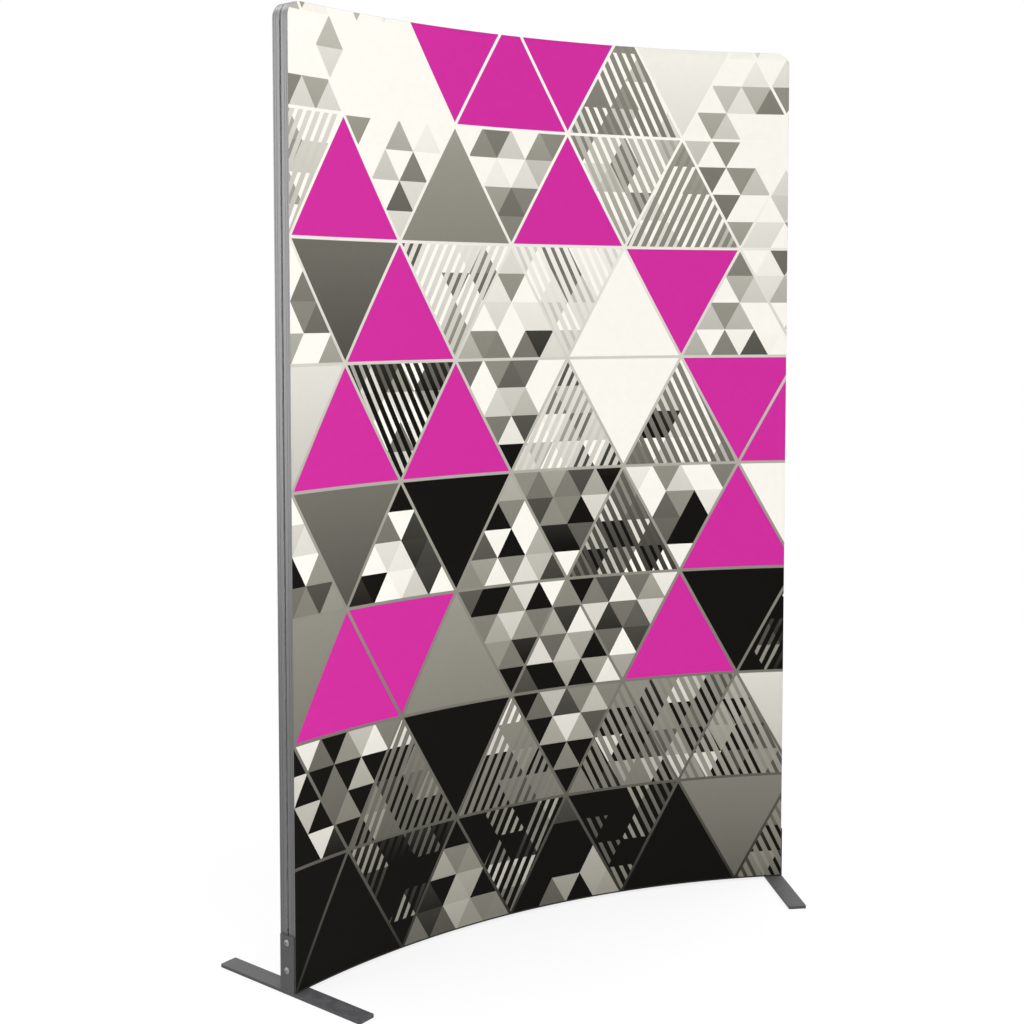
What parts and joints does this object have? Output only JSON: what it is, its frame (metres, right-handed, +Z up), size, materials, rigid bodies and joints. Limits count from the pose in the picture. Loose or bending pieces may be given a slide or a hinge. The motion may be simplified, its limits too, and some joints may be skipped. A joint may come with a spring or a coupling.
{
  "type": "curved fabric display wall",
  "caption": "Free-standing curved display wall: bowed aluminium frame with a stretched printed fabric sheet in its edge groove, on two flat steel feet.",
  "frame": {"origin": "on the floor, in the middle of the object's box, midway between the centres of the two foot bars", "axes": "+X along the wall, +Y away from the viewer behind the wall (the hollow printed side faces -Y), +Z up"},
  "size_m": [1.7574, 0.4798, 2.444],
  "materials": {
    "frame_aluminium": "satin anodised",
    "spreader_aluminium": "mill finish",
    "zinc_plated_steel": "zinc plated",
    "black_screw_steel": "black oxide",
    "bright_screw_steel": "nickel plated",
    "foot_paint": "dark grey powder coat",
    "printed_fabric": "matt printed polyester",
    "silicone_edge": "matt translucent white"
  },
  "bodies": {
    "wall": {"upright_left_lower": "frame_aluminium", "upright_left_upper": "frame_aluminium", "upright_right_lower": "frame_aluminium", "upright_right_upper": "frame_aluminium", "top_corner_left": "frame_aluminium", "top_corner_right": "frame_aluminium", "top_rail_left": "frame_aluminium", "top_rail_right": "frame_aluminium", "bottom_rail_left": "frame_aluminium", "bottom_rail_right": "frame_aluminium", "spreader_left": "spreader_aluminium", "spreader_right": "spreader_aluminium", "upright_joiner_left": "zinc_plated_steel", "upright_joiner_right": "zinc_plated_steel", "top_rail_joiner": "zinc_plated_steel", "bottom_rail_joiner": "zinc_plated_steel", "top_bracket_left": "zinc_plated_steel", "top_bracket_right": "zinc_plated_steel", "bottom_bracket_left": "zinc_plated_steel", "bottom_bracket_right": "zinc_plated_steel", "spreader_connector_left": "zinc_plated_steel", "spreader_connector_right": "zinc_plated_steel", "spreader_sleeve": "zinc_plated_steel", "joiner_grub_screws": "black_screw_steel", "bracket_grub_screws": "black_screw_steel", "nut_bar_left": "black_screw_steel", "nut_bar_right": "black_screw_steel", "spreader_screws": "bright_screw_steel", "foot_bar_left": "foot_paint", "foot_bar_right": "foot_paint", "foot_plate_left": "foot_paint", "foot_plate_right": "foot_paint", "fabric_sheet": "printed_fabric", "edge_strip_left": "silicone_edge", "edge_strip_right": "silicone_edge", "edge_strip_top": "silicone_edge", "edge_strip_bottom": "silicone_edge"},
    "foot_screw_left_lower": {"foot_screw_left_lower": "bright_screw_steel"},
    "foot_screw_left_upper": {"foot_screw_left_upper": "bright_screw_steel"},
    "foot_screw_right_lower": {"foot_screw_right_lower": "bright_screw_steel"},
    "foot_screw_right_upper": {"foot_screw_right_upper": "bright_screw_steel"}
  },
  "joints": [
    {"name": "foot_screw_left_lower_turn", "type": "hinge", "parent": "wall", "child": "foot_screw_left_lower", "pos_m": [-0.78125, -0.00795, 0.061], "axis": [-0.9255, -0.3786, 0], "continuous": true},
    {"name": "foot_screw_left_upper_turn", "type": "hinge", "parent": "wall", "child": "foot_screw_left_upper", "pos_m": [-0.78125, -0.00795, 0.132], "axis": [-0.9255, -0.3786, 0], "continuous": true},
    {"name": "foot_screw_right_lower_turn", "type": "hinge", "parent": "wall", "child": "foot_screw_right_lower", "pos_m": [0.78125, -0.00795, 0.061], "axis": [0.9255, -0.3786, 0], "continuous": true},
    {"name": "foot_screw_right_upper_turn", "type": "hinge", "parent": "wall", "child": "foot_screw_right_upper", "pos_m": [0.78125, -0.00795, 0.132], "axis": [0.9255, -0.3786, 0], "continuous": true}
  ]
}
